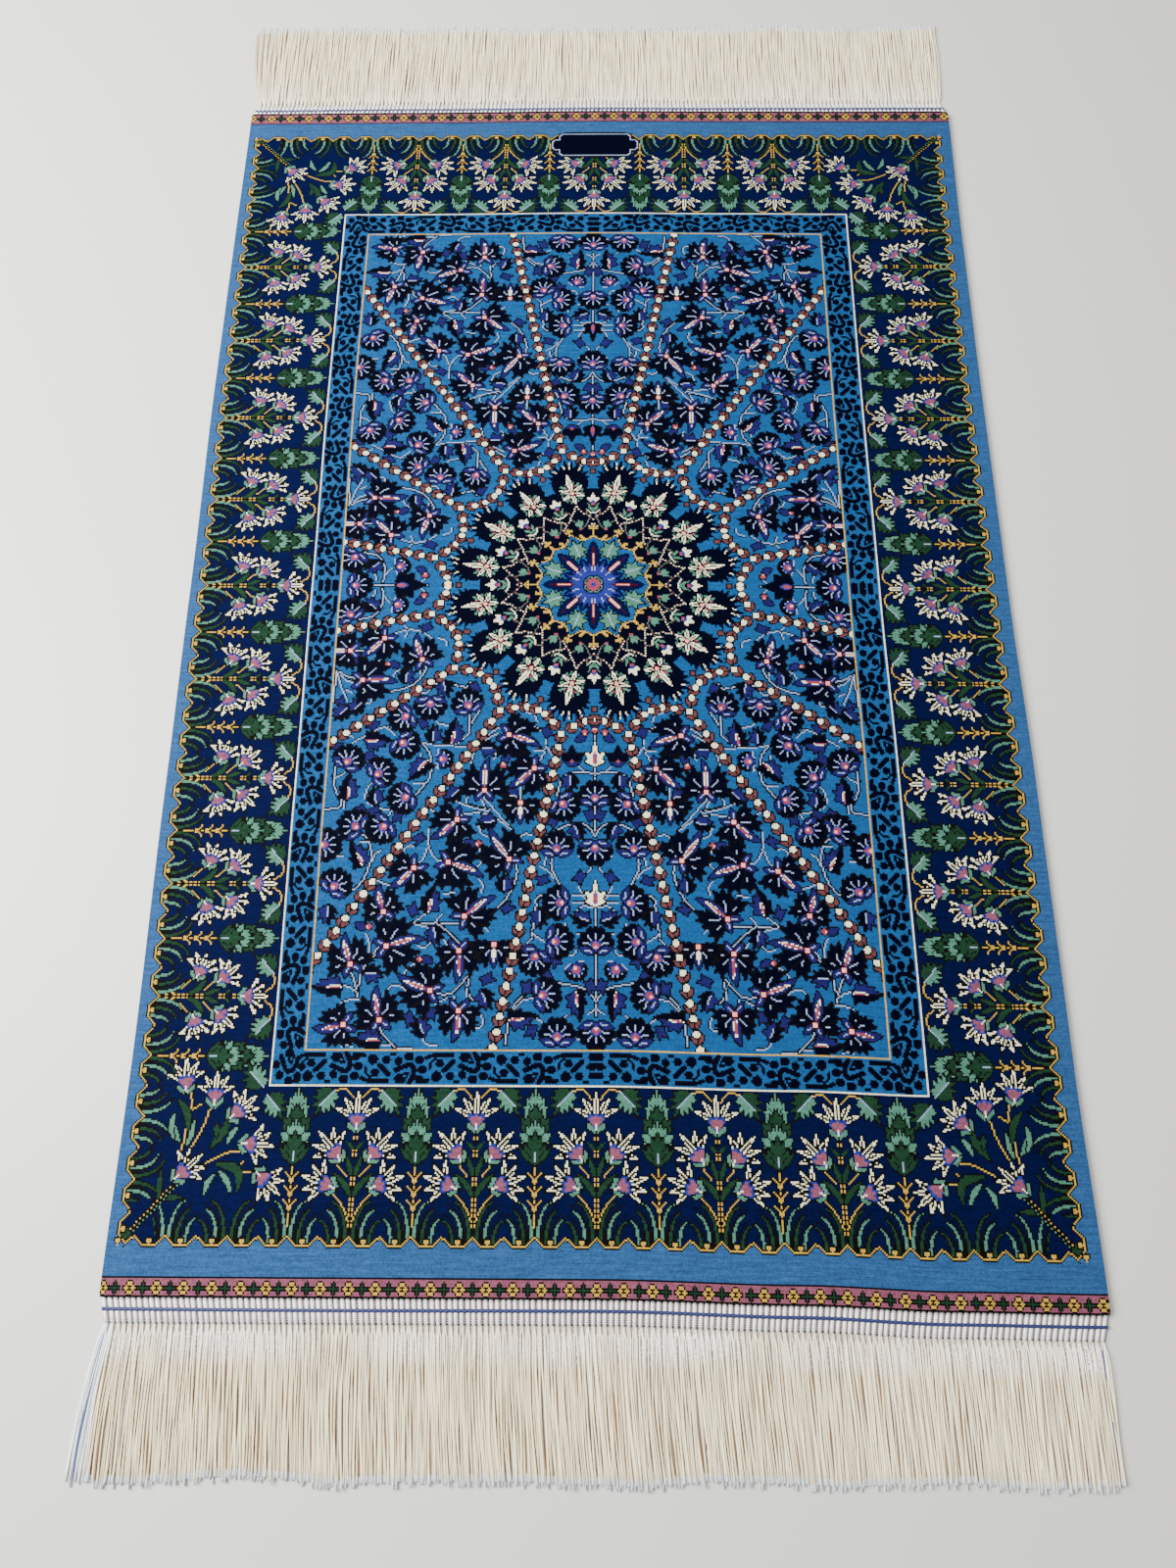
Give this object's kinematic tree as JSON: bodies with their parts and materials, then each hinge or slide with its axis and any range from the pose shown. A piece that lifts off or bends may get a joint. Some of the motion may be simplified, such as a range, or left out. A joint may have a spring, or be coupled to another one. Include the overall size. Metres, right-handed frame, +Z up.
{
  "type": "persian rug",
  "caption": "Small flat silk rug with a knotted medallion pile, floral borders, flat-woven headings and a long warp fringe at each end.",
  "frame": {"origin": "on the floor, in the middle of the rug's outline with its fringes", "axes": "+Z up off the floor, +Y along the rug towards its far end, +X to the right as seen from the near end"},
  "size_m": [0.606, 1.138, 0.0035],
  "materials": {
    "pile_silk": "dense knotted silk pile with a low sheen, in blues, navy, gold, cream, greens and pinks",
    "heading_silk": "flat weft-wrapped ivory ribs with open dark ladders between them",
    "fringe_silk": "fine cream warp threads, loosely parted, with a soft sheen"
  },
  "bodies": {
    "root": {"pile": "pile_silk", "near_heading": "heading_silk", "far_heading": "heading_silk", "near_fringe": "fringe_silk", "far_fringe": "fringe_silk"}
  },
  "joints": []
}
